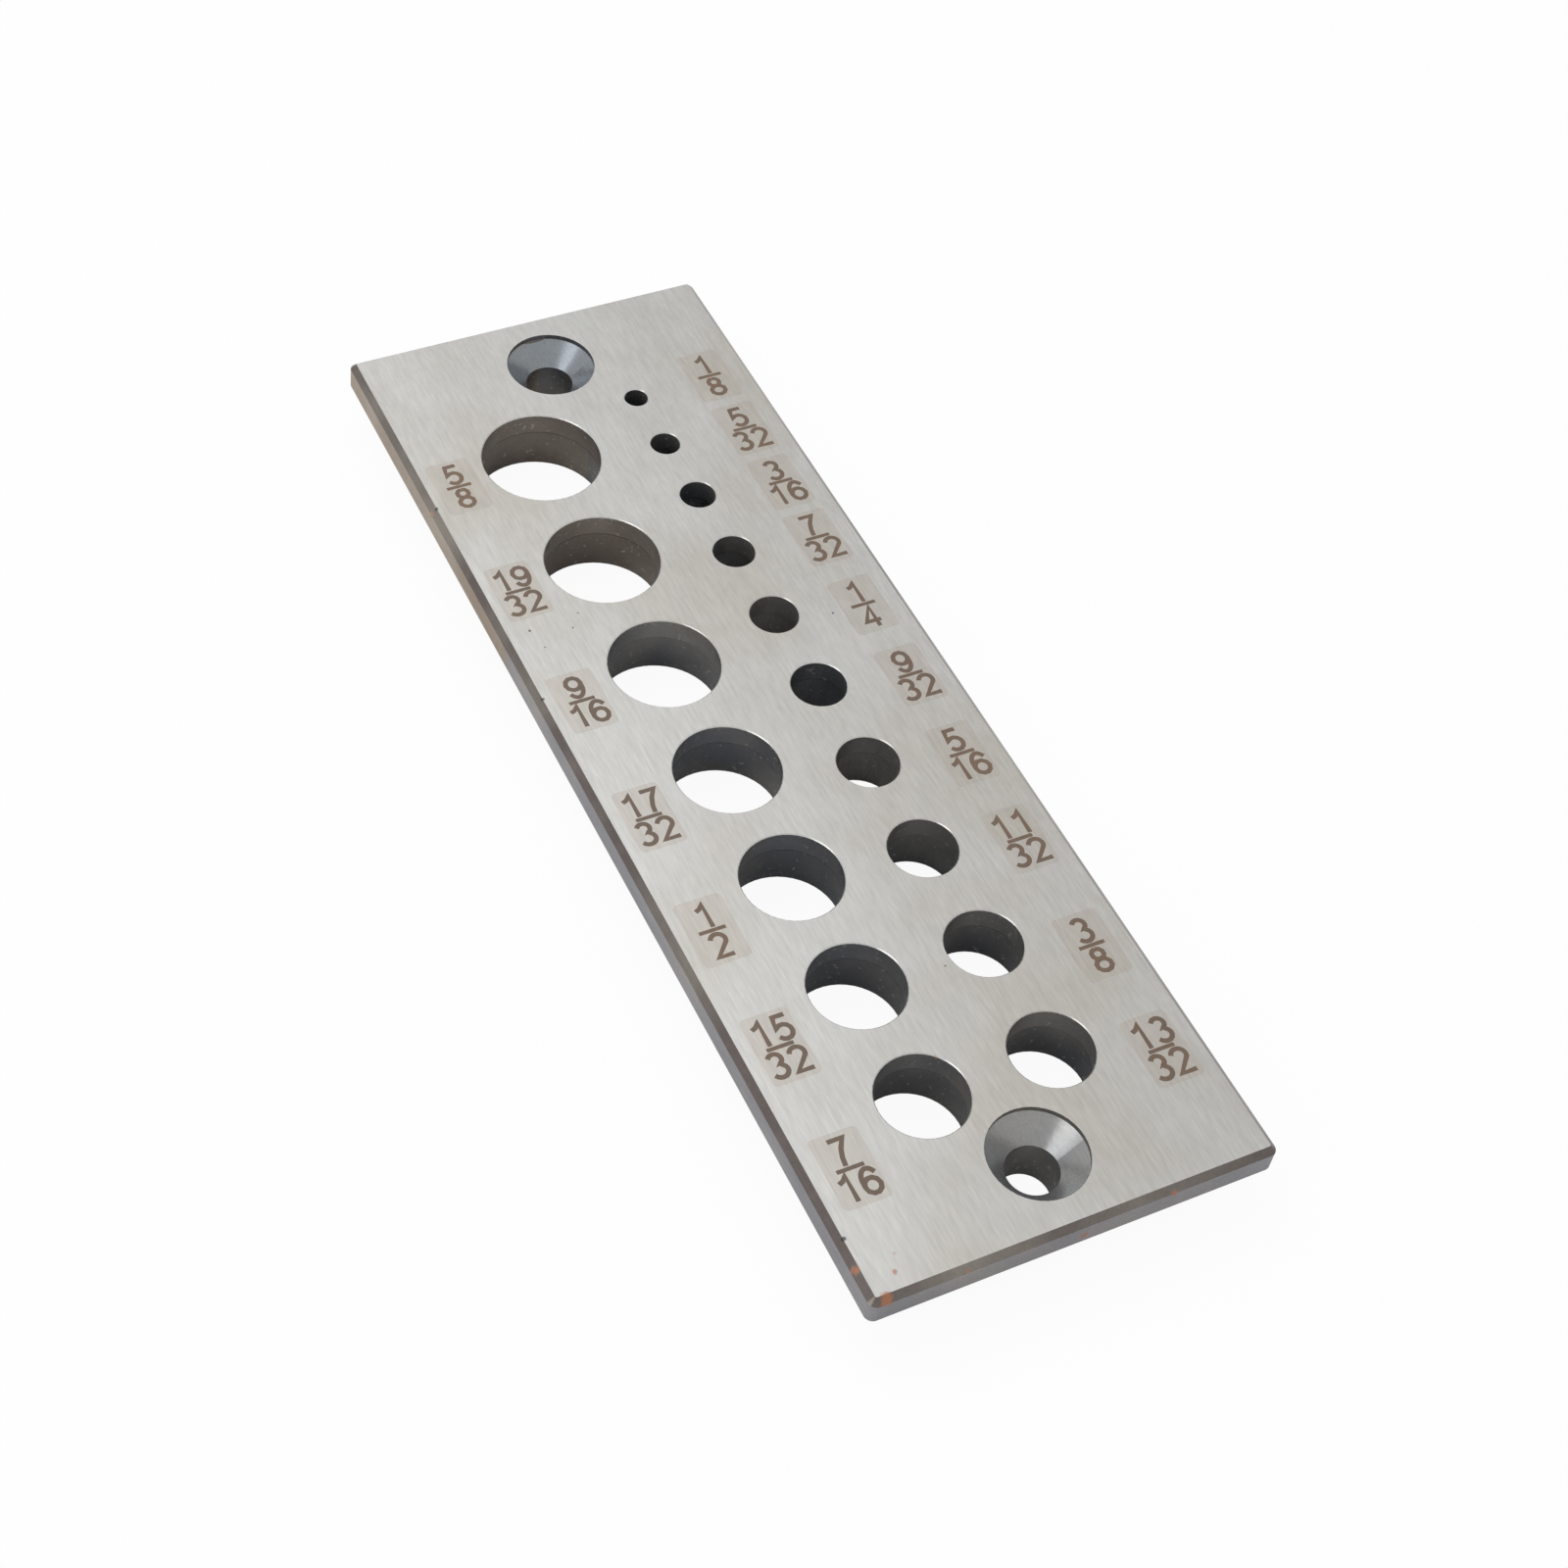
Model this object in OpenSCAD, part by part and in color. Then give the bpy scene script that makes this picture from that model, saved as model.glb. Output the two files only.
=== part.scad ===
// Dowel plate: a bar of ground tool steel with two columns of stepped holes.
// A rough peg is driven down through a hole and comes out round.
// Millimetres. Origin at the middle of the underside, X across, Y to the back, Z up.

/* [Plate] */
// Length, front to back
plate_l = 154.5; // [152:0.5:170]
// Width, left to right
plate_w = 51.5; // [48:0.5:70]
// Thickness
plate_t = 9.5; // [8:0.1:12]
// Chamfer round the working face
face_chamfer = 0.8; // [0.2:0.1:1]
// Radius of the four upright corners
corner_r = 1.05; // [1:0.05:3]

/* [Shoulder] */
// Thickness of the flange that stands out all round
flange_t = 3.7; // [3:0.1:5]
// How far the sides step in below the flange
set_in = 3; // [1:0.1:3.2]
// Radius of the upright corners below the flange
foot_corner_r = 1; // [0.8:0.1:3]
// Chamfer round the underside
foot_chamfer = 0.5; // [0.2:0.1:0.8]

/* [Dowel holes] */
// Smallest hole, in thirty-seconds of an inch
smallest_size = 4; // [3:1:5]
// Holes in the right column, small ones
right_count = 10; // [8:1:10]
// Holes in the left column, large ones
left_count = 7; // [5:1:7]
// Distance between the centres of the two columns
column_gap = 16.7; // [15.8:0.1:20]
// From the front edge to the first hole's centre in each column
first_hole_inset = 21.15; // [19:0.05:22]
// Steel left between neighbours in the left column
left_web = 4.4; // [3.5:0.1:4.6]
// Steel left between neighbours in the right column
right_web = 5.88; // [5:0.01:6]
// Depth of the land, the part of a hole that cuts the peg
land_l = 3.1; // [2:0.1:5]
// How much the radius opens below the land
relief = 0.85; // [0.3:0.05:1.2]
// Break on the rim of each hole
rim_break = 0.12; // [0.05:0.01:0.2]

/* [Screw holes] */
// Diameter of the through hole
screw_d = 6.4; // [4:0.1:7]
// Diameter of the countersink at the face
sink_d = 12; // [10:0.1:13]
// Depth of the straight lip above the cone
sink_lip = 0.7; // [0.3:0.1:1]
// Included angle of the cone
sink_angle = 90; // [82:1:100]
// From each end of the plate to the screw hole's centre
screw_inset = 9.75; // [9.5:0.05:11]

/* [Hidden] */
$fn = 96;
INCH = 25.4;
SIZES_PER_INCH = 32;
CUT = 1;

// Radius of a hole whose size is given in thirty-seconds of an inch
function hole_r(size) = size * INCH / SIZES_PER_INCH / 2;

// Sizes of each column from the front: the right one falls towards the back, the left one grows
right_sizes = [for (i = [0:right_count - 1]) smallest_size + right_count - 1 - i];
left_sizes = [for (i = [0:left_count - 1]) smallest_size + right_count + i];

// Places along Y that leave the same web of steel between every two neighbours
function next_y(y, size, after, web) = y + hole_r(size) + web + hole_r(after);
function places(sizes, web, y, i = 0) =
    i == len(sizes) - 1
        ? [y]
        : concat([y], places(sizes, web, next_y(y, sizes[i], sizes[i + 1], web), i + 1));

first_y = -plate_l / 2 + first_hole_inset;
left_places = places(left_sizes, left_web, first_y);
right_places = places(right_sizes, right_web, first_y);
screw_y = plate_l / 2 - screw_inset;

// Upright block with rounded corners whose top edge is chamfered
module chamfered_block(w, l, h, r, c) {
    core_w = w / 2 - r;
    core_l = l / 2 - r;
    side_w = [[-w / 2, 0], [w / 2, 0], [w / 2, h - c], [w / 2 - c, h], [c - w / 2, h], [-w / 2, h - c]];
    side_l = [[-l / 2, 0], [l / 2, 0], [l / 2, h - c], [l / 2 - c, h], [c - l / 2, h], [-l / 2, h - c]];
    corner = [[0, 0], [r, 0], [r, h - c], [r - c, h], [0, h]];
    rotate([90, 0, 0]) linear_extrude(height = 2 * core_l, center = true) polygon(side_w);
    rotate([90, 0, 90]) linear_extrude(height = 2 * core_w, center = true) polygon(side_l);
    for (x = [-core_w, core_w], y = [-core_l, core_l])
        translate([x, y, 0]) rotate_extrude() polygon(corner);
}

// Flange with its chamfered working face
module flange() {
    translate([0, 0, plate_t - flange_t])
        chamfered_block(plate_w, plate_l, flange_t, corner_r, face_chamfer);
}

// The narrower block below the flange, chamfered round the underside
module foot() {
    h = plate_t - flange_t;
    translate([0, 0, h]) mirror([0, 0, 1])
        chamfered_block(plate_w - 2 * set_in, plate_l - 2 * set_in, h, foot_corner_r, foot_chamfer);
}

// Hollow of one dowel hole: a short land at the face and a wider relief below it
module dowel_hole(size) {
    r = hole_r(size);
    translate([0, 0, -CUT]) cylinder(r = r, h = plate_t + 2 * CUT);
    translate([0, 0, -CUT]) cylinder(r = r + relief, h = plate_t - land_l + CUT);
    translate([0, 0, plate_t - rim_break]) cylinder(r1 = r, r2 = r + 2 * rim_break, h = 2 * rim_break);
}

// Hollow of one screw hole: a straight lip, a cone for the screw's head and a through hole
module screw_hole() {
    sink_r = sink_d / 2;
    cone_h = (sink_r - screw_d / 2) / tan(sink_angle / 2);
    translate([0, 0, -CUT]) cylinder(d = screw_d, h = plate_t + 2 * CUT);
    translate([0, 0, plate_t - sink_lip]) cylinder(r = sink_r, h = sink_lip + CUT);
    translate([0, 0, plate_t - sink_lip - cone_h]) cylinder(r1 = screw_d / 2, r2 = sink_r, h = cone_h);
}

module plate() {
    color("silver")
    difference() {
        union() {
            flange();
            foot();
        }
        for (i = [0:left_count - 1])
            translate([-column_gap / 2, left_places[i], 0]) dowel_hole(left_sizes[i]);
        for (i = [0:right_count - 1])
            translate([column_gap / 2, right_places[i], 0]) dowel_hole(right_sizes[i]);
        for (y = [-screw_y, screw_y])
            translate([0, y, 0]) screw_hole();
    }
}

plate();
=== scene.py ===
"""Dowel plate of ground tool steel: finish, size marks, rust spots, light and camera."""
import math

import bpy
from mathutils import Euler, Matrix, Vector

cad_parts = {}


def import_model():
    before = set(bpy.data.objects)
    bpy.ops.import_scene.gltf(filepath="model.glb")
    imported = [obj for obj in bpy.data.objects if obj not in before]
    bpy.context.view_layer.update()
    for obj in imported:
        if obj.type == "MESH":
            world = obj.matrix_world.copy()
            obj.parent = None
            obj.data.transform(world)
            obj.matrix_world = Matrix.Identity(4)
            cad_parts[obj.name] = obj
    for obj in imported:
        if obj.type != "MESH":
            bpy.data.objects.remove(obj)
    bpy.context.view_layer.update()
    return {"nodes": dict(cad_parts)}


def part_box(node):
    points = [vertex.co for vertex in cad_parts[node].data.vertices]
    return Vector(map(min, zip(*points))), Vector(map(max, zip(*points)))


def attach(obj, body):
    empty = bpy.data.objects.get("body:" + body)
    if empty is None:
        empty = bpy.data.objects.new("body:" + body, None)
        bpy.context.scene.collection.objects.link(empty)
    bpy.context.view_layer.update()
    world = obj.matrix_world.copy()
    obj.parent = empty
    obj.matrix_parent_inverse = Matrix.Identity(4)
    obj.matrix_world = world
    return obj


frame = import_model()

MM = 0.001
PLATE = frame["nodes"]["plate"]
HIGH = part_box("plate")[1]
TOP = HIGH.z

# Camera, fitted to the photograph's hole rims and plate edges; its place is measured from the face's middle
IMAGE_SIDE = 1600
SENSOR = 36.0
FOCAL_PIXELS = 2909
AIM_PIXEL = (686, 680)
CAMERA_FROM_FACE = Vector((-128.33, -192.93, 264.69)) * MM
CAMERA_TURN = (41.639, -4.997, -24.958)
CAMERA_CLIP = 0.01

# Light and floor, in metres; each lamp has its place, its side and its power
WORLD_LIGHT = 0.62
FLOOR_GLOW = 0.94
FLOOR_GREY = (0.85, 0.85, 0.85)
FLOOR_ROUGHNESS = 0.9
FLOOR_HALF = 1.5
FLOOR_DROP = 0.02 * MM
LAMPS = {
    "top_softbox": ((-0.15, 0.35, 0.7), 0.6, 2.6),
    "left_softbox": ((-0.7, -0.1, 0.4), 0.5, 1.0),
}

# Size marks: numerator, denominator, and the middle of the bar in millimetres
SIZE_MARKS = [
    ("5", "8", -20.7, 49.9), ("19", "32", -20.7, 30.0), ("9", "16", -20.5, 10.3),
    ("17", "32", -20.4, -9.3), ("1", "2", -20.5, -27.1), ("15", "32", -20.3, -44.4),
    ("7", "16", -20.2, -61.4),
    ("1", "8", 19.7, 58.1), ("5", "32", 19.8, 47.1), ("3", "16", 19.8, 36.2),
    ("7", "32", 19.8, 25.3), ("1", "4", 19.9, 12.5), ("9", "32", 20.0, -0.3),
    ("5", "16", 19.9, -14.0), ("11", "32", 20.0, -28.3), ("3", "8", 20.1, -45.2),
    ("13", "32", 20.2, -60.7),
]
DIGIT_H = 3.65
DIGIT_PITCH = 2.72
STROKE = 0.6
BAR_L = 3.4
BAR_STROKE = 0.85 * STROKE
BAR_GAP = 0.4
PATCH_W = 6.1
PATCH_L = 9.5
PATCH_R = 0.7
ARC_STEPS = 10

# Marks stand a hair proud of the face, and a line rises along its way so that its crossings don't coincide
PATCH_PROUD = 0.006
MARK_PROUD = 0.012
LINE_RISE = 0.0006
SUNK = 0.03

# A line's corners are mitred, down to this cosine of half the turn
SHARPEST_MITRE = 0.55
NEARLY_BACK = 0.01

# Land and rim of a dowel hole, in millimetres, with the half width of the painted shade line under the land
# and the reach of the painted highlight at the rim
LAND = 3.1
LAND_SHADE_LINE = 0.09
RIM_BREAK = 0.12
RIM_HIGHLIGHT_REACH = 1.1 * RIM_BREAK

# Surfaces are told apart by how they face and by how near they are to the plate's outside
LEVEL_FROM = 0.9
SLANTED_FROM = 0.3
LEFT_FACING = -0.5
OUTER_ZONE = 4

# A painted brown reflection colours the walls left of the middle towards the back, from this place along
# the plate in millimetres, and a share of it the holes
BROWN_FROM = 21.5
BROWN_BLEND = 1.5
BROWN_IN_HOLES = 0.5

# Pale specks of dust in the holes, where the grain is highest
SPECK_GRAIN = 0.66
SPECK_SHARE = 0.5

# Each noise has its scale and its detail; the streaks are stretched along the plate
STREAK_NOISE = (3200, 4)
STREAK_STRETCH = (1.0, 0.1, 1.0)
CLOUD_NOISE = (55, 5)
GRAIN_NOISE = (1500, 3)

# What streaks and clouds do to the colour
STREAK_RANGE = (0.3, 0.7)
STREAK_SHADE = (0.92, 1.06)
CLOUD_RANGE = (0.42, 0.68)
STAIN_SHARE = 0.5

# Roughness, how much of it the grain, the rust and a polish make, and the height of the bumps
ROUGHNESS = 0.3
GRAIN_ROUGHNESS = 0.18
RUST_ROUGHNESS = 0.3
POLISH_DEPTH = 0.14
GRAIN_HEIGHT = 0.5
BUMP_STRENGTH = 0.25
BUMP_HEIGHT = 0.03 * MM

# Places of rust and of dark nicks, with each spot's radius, in millimetres
RUST_SPOTS = [
    (-25.3, -72.6, 9.1, 0.5), (-23.8, -76.9, 9.1, 0.8), (-21.7, -74.4, 9.5, 0.3), (-20.7, -72.6, 9.5, 0.15),
    (-14.0, -77.2, 9.0, 0.3), (0.8, -77.2, 7.0, 0.5), (12.0, -77.2, 8.5, 0.4), (-2.4, 34.6, 9.3, 0.35),
    (-4.6, -52.2, 9.3, 0.25), (-25.7, 47.1, 8.8, 0.4),
]
NICKS = [
    (-21.3, 20.0, 9.5, 0.12), (-15.1, 23.9, 9.5, 0.1), (-16.7, 21.8, 9.5, 0.12), (-22.0, 23.2, 9.5, 0.16),
    (-21.1, -23.3, 9.5, 0.12), (2.5, -41.5, 9.5, 0.14), (-25.0, 47.1, 9.4, 0.25), (-24.9, 12.2, 9.4, 0.25),
    (-24.9, -68.9, 9.4, 0.3), (15.5, 12.5, 9.5, 0.1),
]
RUST_SHARE = 0.75
NICK_SHARE = 0.8

# How far the grain pushes a spot's edge, and the shares of it over which the edge fades
RUST_RAGGED = 1.2
NICK_RAGGED = 0.3
FADE_FROM = 0.6
FADE_TO = 0.3

# Colours of the kinds of surface (apart from the face, painted shade, reflection and highlight on the one
# steel), of what lies on them and of the marks, and how much of each is bare metal
FACE = (0.6, 0.595, 0.575)
# Painted shade on the outer chamfers
CHAMFER_SHADE = (0.17, 0.145, 0.135)
# Painted blue-grey reflection on the side walls and the underside
SIDE_REFLECTION = (0.27, 0.265, 0.285)
# Painted shade inside the bores
HOLE_WALL_SHADE = (0.17, 0.175, 0.19)
# Painted reflection on the countersinks
COUNTERSINK_REFLECTION = (0.33, 0.36, 0.39)
# Painted highlight along the hole rims
RIM_HIGHLIGHT = (0.72, 0.72, 0.7)
# Painted reflection of a brown table
BROWN_REFLECTION = (0.31, 0.235, 0.17)
# Dark of the real nicks, and of the painted shade line under each land
DARK_NICK_AND_SHADE = (0.05, 0.045, 0.045)
RUST = (0.42, 0.15, 0.06)
STAIN = (0.5, 0.46, 0.4)
PATCH = (0.545, 0.52, 0.48)
PATCH_STAIN = (0.48, 0.44, 0.38)
MARK = (0.15, 0.108, 0.08)
MARK_STAIN = (0.22, 0.14, 0.09)
PLATE_METAL = 0.75
PATCH_METAL = 0.7
MARK_METAL = 0.2


def arc(x, y, rx, ry, start, end):
    """Points of an arc from start to end, in degrees."""
    turns = [math.radians(start + (end - start) * i / ARC_STEPS) for i in range(ARC_STEPS + 1)]
    return [(x + rx * math.cos(a), y + ry * math.sin(a)) for a in turns]


# Centre lines of the digits, one unit high, x about the middle
SIX = arc(0, 0.335, 0.26, 0.27, 180, -180) + arc(0.02, 0.47, 0.28, 0.465, 180, 35)[1:]
DIGITS = {
    "1": [[(-0.2, 0.72), (-0.03, 0.79), (0.09, 0.935), (0.09, 0.0)]],
    "2": [arc(0, 0.69, 0.25, 0.245, 165, -30) + [(-0.25, 0.065), (0.29, 0.065)]],
    "3": [arc(-0.01, 0.725, 0.22, 0.21, 155, -75) + arc(-0.01, 0.3, 0.255, 0.235, 75, -155)],
    "4": [[(0.11, 0.0), (0.11, 0.95), (-0.27, 0.29), (0.29, 0.29)]],
    "5": [[(0.25, 0.935), (-0.15, 0.935), (-0.22, 0.5)] + arc(0, 0.335, 0.265, 0.27, 135, -150)],
    "6": [SIX],
    "7": [[(-0.26, 0.935), (0.25, 0.935), (0.05, 0.6), (-0.05, 0.3), (-0.09, 0.0)]],
    "8": [arc(0, 0.735, 0.205, 0.2, 90, 450), arc(0, 0.3, 0.26, 0.235, 90, 450)],
    "9": [[(-x, 1 - y) for x, y in SIX]],
}


def new_piece(name, verts, faces, material):
    """A mesh that rides with the plate and takes its finish slot."""
    mesh = bpy.data.meshes.new(name)
    mesh.from_pydata(verts, [], faces)
    mesh.materials.append(material)
    piece = bpy.data.objects.new(name, mesh)
    bpy.context.scene.collection.objects.link(piece)
    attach(piece, "root")


def ribbon(verts, faces, line, width, z_low, z_high):
    """A flat band of the given width along a line of points, closed all round."""
    first = len(verts)
    line = [Vector(p) for p in line]
    for i, point in enumerate(line):
        before = (point - line[max(i - 1, 0)]).normalized()
        after = (line[min(i + 1, len(line) - 1)] - point).normalized()
        along = before + after
        if along.length < NEARLY_BACK:
            along = after
        side = Vector((-along.y, along.x)).normalized()
        mitre = abs(side.dot(Vector((-after.y, after.x)))) if after.length else 1
        reach = width / 2 / max(SHARPEST_MITRE, mitre)
        z_top = z_high + i * LINE_RISE * MM
        for sign, z in ((1, z_top), (-1, z_top), (-1, z_low), (1, z_low)):
            verts.append((point.x + sign * side.x * reach, point.y + sign * side.y * reach, z))
    for i in range(len(line) - 1):
        ring = first + 4 * i
        for k in range(4):
            n = (k + 1) % 4
            faces.append((ring + k, ring + 4 + k, ring + 4 + n, ring + n))
    last = first + 4 * (len(line) - 1)
    faces.append((first, first + 1, first + 2, first + 3))
    faces.append((last + 3, last + 2, last + 1, last))


def rounded_rectangle(x, y, w, l, r):
    """Outline of a rectangle w by l about (x, y) with corners of radius r."""
    corners = ((1, 1, 0), (-1, 1, 90), (-1, -1, 180), (1, -1, 270))
    return [p for sx, sy, turn in corners
            for p in arc(x + sx * (w / 2 - r), y + sy * (l / 2 - r), r, r, turn, turn + 90)]


def slab(verts, faces, outline, z_low, z_high):
    """A closed flat solid with the given outline."""
    first = len(verts)
    count = len(outline)
    verts += [(x, y, z_high) for x, y in outline] + [(x, y, z_low) for x, y in outline]
    faces.append(tuple(range(first, first + count)))
    faces.append(tuple(reversed(range(first + count, first + 2 * count))))
    for i in range(count):
        n = (i + 1) % count
        faces.append((first + i, first + count + i, first + count + n, first + n))


class Nodes:
    """Short calls that make and join the nodes of one tree."""

    def __init__(self, tree):
        self.tree = tree

    def make(self, kind, **values):
        node = self.tree.nodes.new(kind)
        for key, value in values.items():
            setattr(node, key, value)
        return node

    def feed(self, socket, value):
        """Give a socket a number, a colour or another node's output."""
        if isinstance(value, tuple):
            socket.default_value = (*value, 1)
        elif isinstance(value, (int, float)):
            socket.default_value = value
        else:
            self.tree.links.new(value, socket)

    def math(self, operation, *values):
        node = self.make("ShaderNodeMath", operation=operation)
        for socket, value in zip(node.inputs, values):
            self.feed(socket, value)
        return node.outputs[0]

    def mix(self, mask, a, b):
        """Colour a where the mask is 0 and colour b where it is 1."""
        node = self.make("ShaderNodeMix", data_type="RGBA")
        factor, first, second = node.inputs[0], node.inputs[6], node.inputs[7]
        for socket, value in ((factor, mask), (first, a), (second, b)):
            self.feed(socket, value)
        return node.outputs[2]

    def remap(self, value, low, high, to_low=0.0, to_high=1.0, kind="LINEAR"):
        node = self.make("ShaderNodeMapRange", interpolation_type=kind)
        self.feed(node.inputs["Value"], value)
        node.inputs["From Min"].default_value = low
        node.inputs["From Max"].default_value = high
        node.inputs["To Min"].default_value = to_low
        node.inputs["To Max"].default_value = to_high
        return node.outputs[0]

    def place(self):
        return self.make("ShaderNodeTexCoord").outputs["Object"]

    def noise(self, vector, scale, detail):
        node = self.make("ShaderNodeTexNoise")
        self.feed(node.inputs["Vector"], vector)
        node.inputs["Scale"].default_value = scale
        node.inputs["Detail"].default_value = detail
        return node.outputs["Fac"]

    def split(self, vector):
        node = self.make("ShaderNodeSeparateXYZ")
        self.feed(node.inputs[0], vector)
        return node.outputs


def spots(nodes, place, grain, places, ragged):
    """Mask of round spots whose edges the grain makes ragged."""
    mask = 0.0
    push = nodes.math("MULTIPLY", grain, ragged * MM)
    for x, y, z, radius in places:
        away = nodes.make("ShaderNodeVectorMath", operation="DISTANCE")
        nodes.feed(away.inputs[0], place)
        away.inputs[1].default_value = (x * MM, y * MM, z * MM)
        reach = nodes.math("ADD", away.outputs["Value"], push)
        spot = nodes.remap(reach, (radius + FADE_FROM * ragged) * MM, (radius + FADE_TO * ragged) * MM)
        mask = nodes.math("MAXIMUM", mask, spot)
    return mask


def ground_finish_group():
    """Streaks, cloudy stains, nicks and rust over a tone of steel, with its roughness, metal and bumps."""
    tree = bpy.data.node_groups.new("ground_finish", "ShaderNodeTree")
    for name, side, kind in (
        ("Tone", "INPUT", "Color"), ("Stain", "INPUT", "Color"), ("Nick", "INPUT", "Color"),
        ("Metal", "INPUT", "Float"), ("Polish", "INPUT", "Float"),
        ("Colour", "OUTPUT", "Color"), ("Roughness", "OUTPUT", "Float"),
        ("Metallic", "OUTPUT", "Float"), ("Height", "OUTPUT", "Float"),
    ):
        tree.interface.new_socket(name, in_out=side, socket_type=f"NodeSocket{kind}")
    nodes = Nodes(tree)
    given = nodes.make("NodeGroupInput").outputs
    out = nodes.make("NodeGroupOutput").inputs

    place = nodes.place()
    stretch = nodes.make("ShaderNodeVectorMath", operation="MULTIPLY")
    stretch.inputs[1].default_value = STREAK_STRETCH
    nodes.feed(stretch.inputs[0], place)
    streaks = nodes.noise(stretch.outputs[0], *STREAK_NOISE)
    clouds = nodes.noise(place, *CLOUD_NOISE)
    grain = nodes.noise(place, *GRAIN_NOISE)
    nicks = spots(nodes, place, grain, NICKS, NICK_RAGGED)
    rust = spots(nodes, place, grain, RUST_SPOTS, RUST_RAGGED)

    stain = nodes.math("MULTIPLY", nodes.remap(clouds, *CLOUD_RANGE), STAIN_SHARE)
    shade = nodes.make("ShaderNodeVectorMath", operation="SCALE")
    nodes.feed(shade.inputs[0], nodes.mix(stain, given["Tone"], given["Stain"]))
    nodes.feed(shade.inputs["Scale"], nodes.remap(streaks, *STREAK_RANGE, *STREAK_SHADE))
    colour = nodes.mix(nodes.math("MULTIPLY", nicks, NICK_SHARE), shade.outputs[0], given["Nick"])
    colour = nodes.mix(nodes.math("MULTIPLY", rust, RUST_SHARE), colour, RUST)
    nodes.feed(out["Colour"], colour)

    dull = nodes.math("MULTIPLY_ADD", grain, GRAIN_ROUGHNESS, ROUGHNESS)
    dull = nodes.math("SUBTRACT", dull, nodes.math("MULTIPLY", given["Polish"], POLISH_DEPTH))
    dull = nodes.math("ADD", dull, nodes.math("MULTIPLY", rust, RUST_ROUGHNESS))
    nodes.feed(out["Roughness"], dull)
    bare = nodes.math("SUBTRACT", 1.0, rust)
    nodes.feed(out["Metallic"], nodes.math("MULTIPLY", bare, given["Metal"]))
    nodes.feed(out["Height"], nodes.math("ADD", streaks, nodes.math("MULTIPLY", grain, GRAIN_HEIGHT)))
    return tree


def steel_material(name, tone, stain, nick, metal):
    """A material with the ground finish; returns it with the finish's own sockets."""
    material = bpy.data.materials.new(name)
    material.use_nodes = True
    nodes = Nodes(material.node_tree)
    shader = material.node_tree.nodes["Principled BSDF"]
    finish = nodes.make("ShaderNodeGroup", node_tree=GROUND_FINISH)
    for socket, value in (("Tone", tone), ("Stain", stain), ("Nick", nick), ("Metal", metal)):
        nodes.feed(finish.inputs[socket], value)
    nodes.feed(shader.inputs["Base Color"], finish.outputs["Colour"])
    nodes.feed(shader.inputs["Roughness"], finish.outputs["Roughness"])
    nodes.feed(shader.inputs["Metallic"], finish.outputs["Metallic"])
    bump = nodes.make("ShaderNodeBump")
    bump.inputs["Strength"].default_value = BUMP_STRENGTH
    bump.inputs["Distance"].default_value = BUMP_HEIGHT
    nodes.feed(bump.inputs["Height"], finish.outputs["Height"])
    nodes.feed(shader.inputs["Normal"], bump.outputs[0])
    return material, finish.inputs


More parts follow.
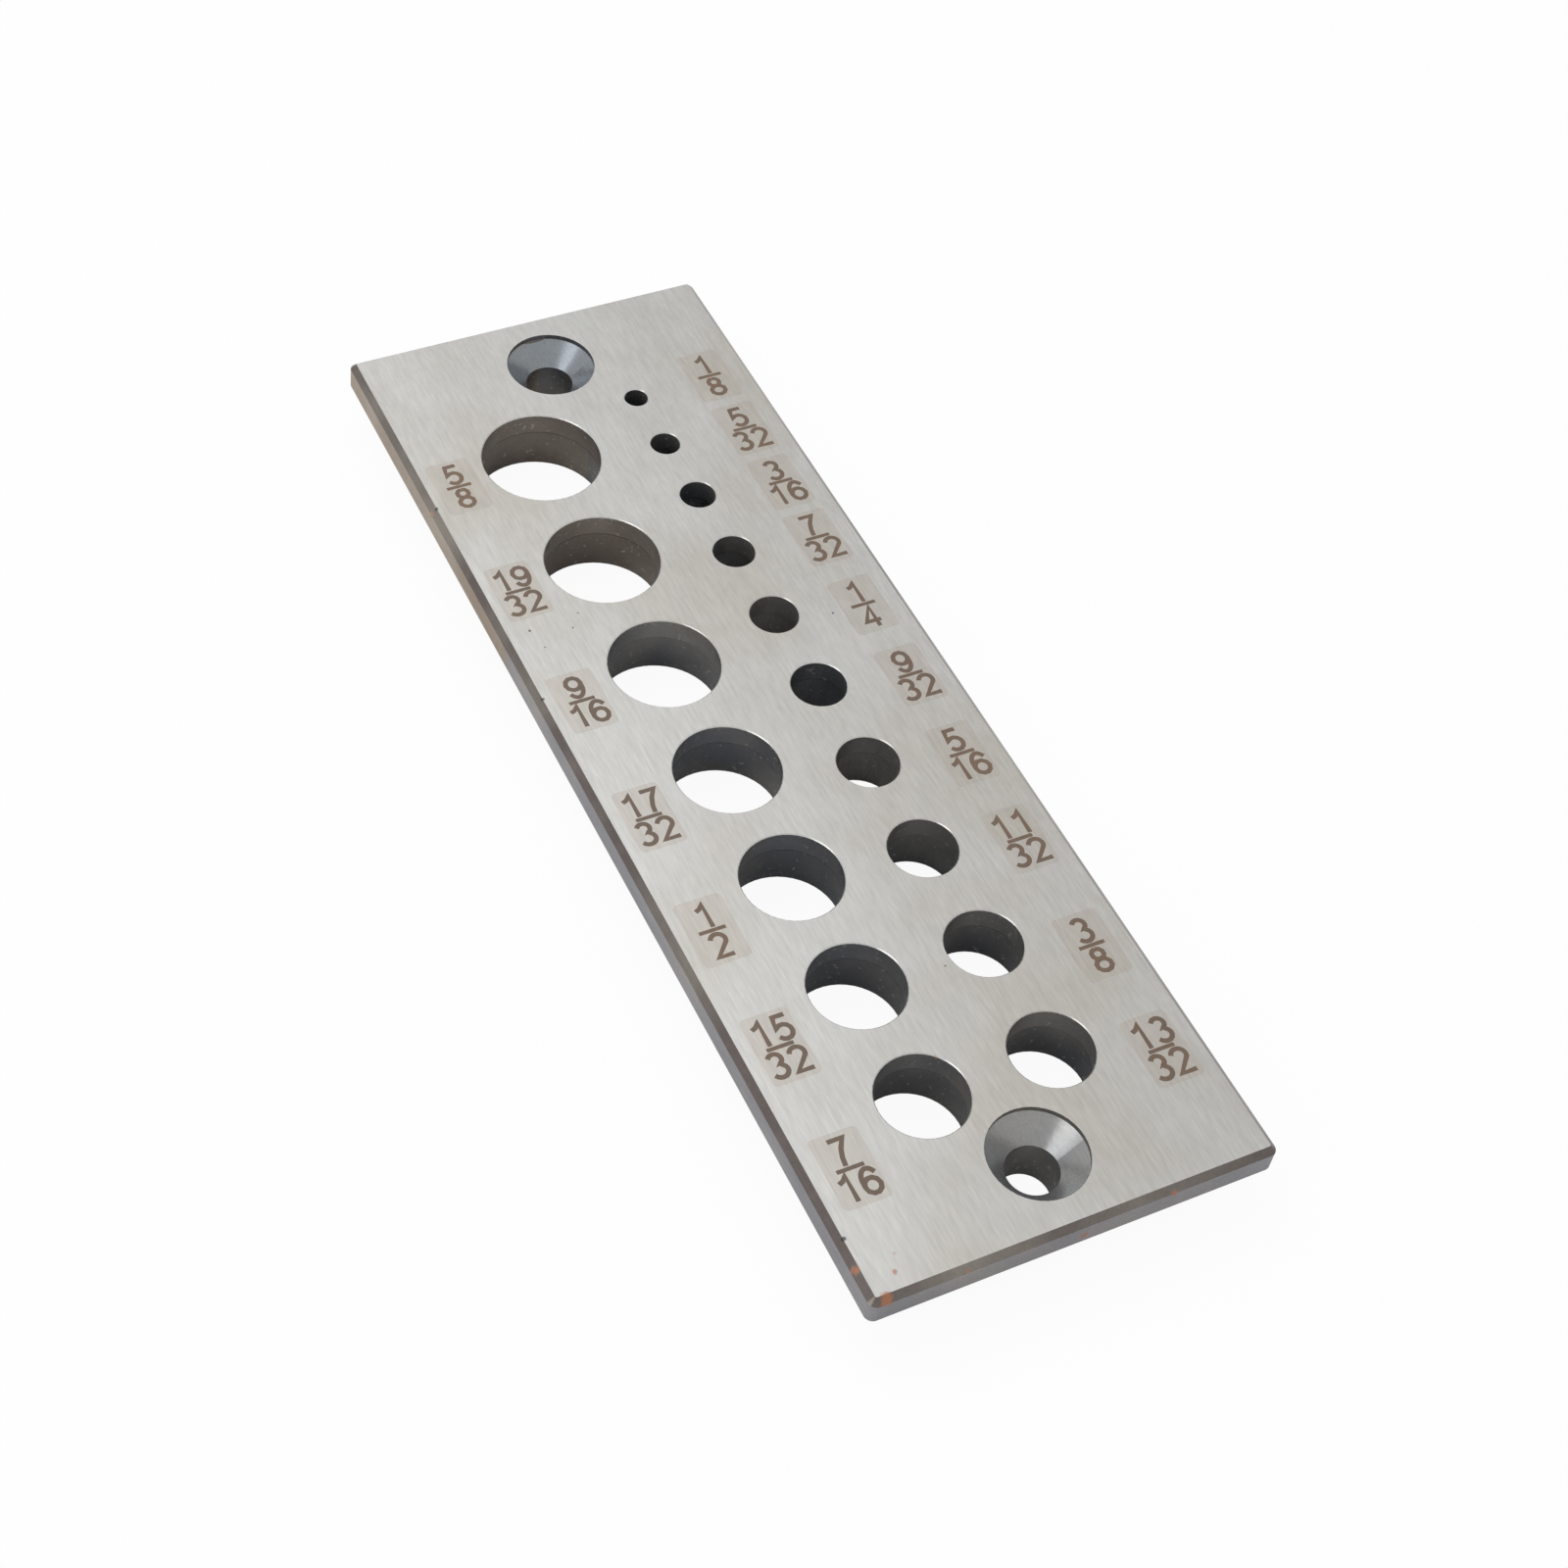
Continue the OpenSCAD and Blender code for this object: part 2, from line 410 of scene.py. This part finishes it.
def plate_material():
    """The plate's steel: its tone goes by the kind of surface as painted shade, reflection and highlight,
    and its slanted surfaces are polished.
    """
    material, finish = steel_material("ground_tool_steel", FACE, STAIN, DARK_NICK_AND_SHADE, PLATE_METAL)
    nodes = Nodes(material.node_tree)
    place = nodes.place()
    x, y, z = nodes.split(place)
    facing = nodes.split(nodes.make("ShaderNodeNewGeometry").outputs["True Normal"])
    level = nodes.math("GREATER_THAN", facing[2], LEVEL_FROM)
    upward = nodes.math("GREATER_THAN", facing[2], SLANTED_FROM)
    slanted = nodes.math("MULTIPLY", upward, nodes.math("LESS_THAN", facing[2], LEVEL_FROM))
    under = nodes.math("LESS_THAN", facing[2], -SLANTED_FROM)
    near_x = nodes.math("GREATER_THAN", nodes.math("ABSOLUTE", x), HIGH.x - OUTER_ZONE * MM)
    near_y = nodes.math("GREATER_THAN", nodes.math("ABSOLUTE", y), HIGH.y - OUTER_ZONE * MM)
    outside = nodes.math("MAXIMUM", near_x, near_y)
    # Where the painted brown reflection falls: left of the middle, towards the back
    brown_from = (BROWN_FROM - BROWN_BLEND) * MM
    brown_to = (BROWN_FROM + BROWN_BLEND) * MM
    towards_back = nodes.remap(y, brown_from, brown_to, kind="SMOOTHSTEP")
    brown = nodes.math("MULTIPLY", towards_back, nodes.math("LESS_THAN", x, 0.0))

    # Painted shade inside the bores, with a share of the painted brown reflection and pale specks of dust
    shaded_wall = nodes.mix(nodes.math("MULTIPLY", brown, BROWN_IN_HOLES), HOLE_WALL_SHADE, BROWN_REFLECTION)
    speck = nodes.math("GREATER_THAN", nodes.noise(place, *GRAIN_NOISE), SPECK_GRAIN)
    shaded_wall = nodes.mix(nodes.math("MULTIPLY", speck, SPECK_SHARE), shaded_wall, FACE)
    # A painted shade line along each hole's land, where the wider relief below lies in shadow
    from_land = nodes.math("ABSOLUTE", nodes.math("SUBTRACT", z, TOP - LAND * MM))
    shaded_wall = nodes.mix(nodes.math("LESS_THAN", from_land, LAND_SHADE_LINE * MM), shaded_wall, DARK_NICK_AND_SHADE)

    # Painted blue-grey reflection on the outer walls, brown on the left walls towards the back
    leftward = nodes.math("LESS_THAN", facing[0], LEFT_FACING)
    side = nodes.mix(nodes.math("MULTIPLY", brown, leftward), SIDE_REFLECTION, BROWN_REFLECTION)

    # Painted highlight at the hole rims and painted reflection on the countersinks; painted shade on the
    # outer chamfers
    rim_highlight_mask = nodes.math("GREATER_THAN", z, TOP - RIM_HIGHLIGHT_REACH * MM)
    slope_light_and_shade = nodes.mix(rim_highlight_mask, COUNTERSINK_REFLECTION, RIM_HIGHLIGHT)
    slope_light_and_shade = nodes.mix(outside, slope_light_and_shade, CHAMFER_SHADE)

    # The tone gathers the painted shade, reflections and highlight of each kind of surface
    tone = nodes.mix(outside, shaded_wall, side)
    tone = nodes.mix(slanted, tone, slope_light_and_shade)
    # The underside takes the painted side reflection
    tone = nodes.mix(under, tone, SIDE_REFLECTION)
    nodes.feed(finish["Tone"], nodes.mix(level, tone, FACE))
    nodes.feed(finish["Polish"], slanted)
    return material


GROUND_FINISH = ground_finish_group()
PLATE_STEEL = plate_material()
PATCH_STEEL = steel_material("marking_patch", PATCH, PATCH_STAIN, PATCH, PATCH_METAL)[0]
MARK_STEEL = steel_material("laser_mark", MARK, MARK_STAIN, MARK, MARK_METAL)[0]

PLATE.data.materials.clear()
PLATE.data.materials.append(PLATE_STEEL)


def size_mark(over, under, x, y):
    """A fraction on its patch: digits above and below a short bar."""
    name = f"size_{over}_{under}"
    low = TOP - SUNK * MM
    verts, faces = [], []
    outline = rounded_rectangle(x * MM, y * MM, PATCH_W * MM, PATCH_L * MM, PATCH_R * MM)
    slab(verts, faces, outline, low, TOP + PATCH_PROUD * MM)
    new_piece(f"{name}_patch", verts, faces, PATCH_STEEL)

    verts, faces = [], []
    high = TOP + MARK_PROUD * MM
    bar = [((x - BAR_L / 2) * MM, y * MM), ((x + BAR_L / 2) * MM, y * MM)]
    ribbon(verts, faces, bar, BAR_STROKE * MM, low, high)
    for text, base in ((over, y + BAR_GAP), (under, y - BAR_GAP - DIGIT_H)):
        for i, digit in enumerate(text):
            middle = x + (i - (len(text) - 1) / 2) * DIGIT_PITCH
            for line in DIGITS[digit]:
                points = [((middle + px * DIGIT_H) * MM, (base + py * DIGIT_H) * MM) for px, py in line]
                ribbon(verts, faces, points, STROKE * MM, low, high)
    new_piece(f"{name}_digits", verts, faces, MARK_STEEL)


def floor_material():
    """Pale paint that looks white from the camera and keeps a little of the shadow."""
    material = bpy.data.materials.new("white_floor")
    material.use_nodes = True
    nodes = Nodes(material.node_tree)
    paint = material.node_tree.nodes["Principled BSDF"]
    nodes.feed(paint.inputs["Base Color"], FLOOR_GREY)
    nodes.feed(paint.inputs["Roughness"], FLOOR_ROUGHNESS)
    glow = nodes.make("ShaderNodeEmission")
    seen = nodes.make("ShaderNodeLightPath").outputs["Is Camera Ray"]
    mix = nodes.make("ShaderNodeMixShader")
    nodes.feed(mix.inputs[0], nodes.math("MULTIPLY", seen, FLOOR_GLOW))
    nodes.feed(mix.inputs[1], paint.outputs[0])
    nodes.feed(mix.inputs[2], glow.outputs[0])
    nodes.feed(material.node_tree.nodes["Material Output"].inputs["Surface"], mix.outputs[0])
    return material


def floor():
    corners = ((-1, -1), (1, -1), (1, 1), (-1, 1))
    verts = [(x * FLOOR_HALF, y * FLOOR_HALF, -FLOOR_DROP) for x, y in corners]
    mesh = bpy.data.meshes.new("floor")
    mesh.from_pydata(verts, [], [(0, 1, 2, 3)])
    mesh.materials.append(floor_material())
    piece = bpy.data.objects.new("floor", mesh)
    bpy.context.scene.collection.objects.link(piece)


def area_lamp(name, place, size, power):
    """A square soft lamp aimed at the plate."""
    data = bpy.data.lights.new(name, "AREA")
    data.size = size
    data.energy = power
    lamp = bpy.data.objects.new(name, data)
    lamp.location = place
    lamp.rotation_euler = (-Vector(place)).to_track_quat("-Z", "Y").to_euler()
    bpy.context.scene.collection.objects.link(lamp)


def world():
    """An even studio, white to the camera and dimmer as light."""
    surroundings = bpy.data.worlds.new("studio")
    surroundings.use_nodes = True
    nodes = Nodes(surroundings.node_tree)
    back = surroundings.node_tree.nodes["Background"]
    back.inputs["Color"].default_value = (1, 1, 1, 1)
    seen = nodes.make("ShaderNodeLightPath").outputs["Is Camera Ray"]
    nodes.feed(back.inputs["Strength"], nodes.remap(seen, 0.0, 1.0, WORLD_LIGHT, 1.0))
    bpy.context.scene.world = surroundings


def camera():
    data = bpy.data.cameras.new("camera")
    data.sensor_width = SENSOR
    data.lens = FOCAL_PIXELS / IMAGE_SIDE * SENSOR
    data.shift_x = (IMAGE_SIDE / 2 - AIM_PIXEL[0]) / IMAGE_SIDE
    data.shift_y = (AIM_PIXEL[1] - IMAGE_SIDE / 2) / IMAGE_SIDE
    data.clip_start = CAMERA_CLIP
    view = bpy.data.objects.new("camera", data)
    view.location = CAMERA_FROM_FACE + Vector((0, 0, TOP))
    view.rotation_euler = Euler([math.radians(a) for a in CAMERA_TURN], "XYZ")
    bpy.context.scene.collection.objects.link(view)
    bpy.context.scene.camera = view


for mark in SIZE_MARKS:
    size_mark(*mark)
floor()
for name, (place, size, power) in LAMPS.items():
    area_lamp(name, place, size, power)
world()
camera()
bpy.context.scene.view_settings.view_transform = "Standard"
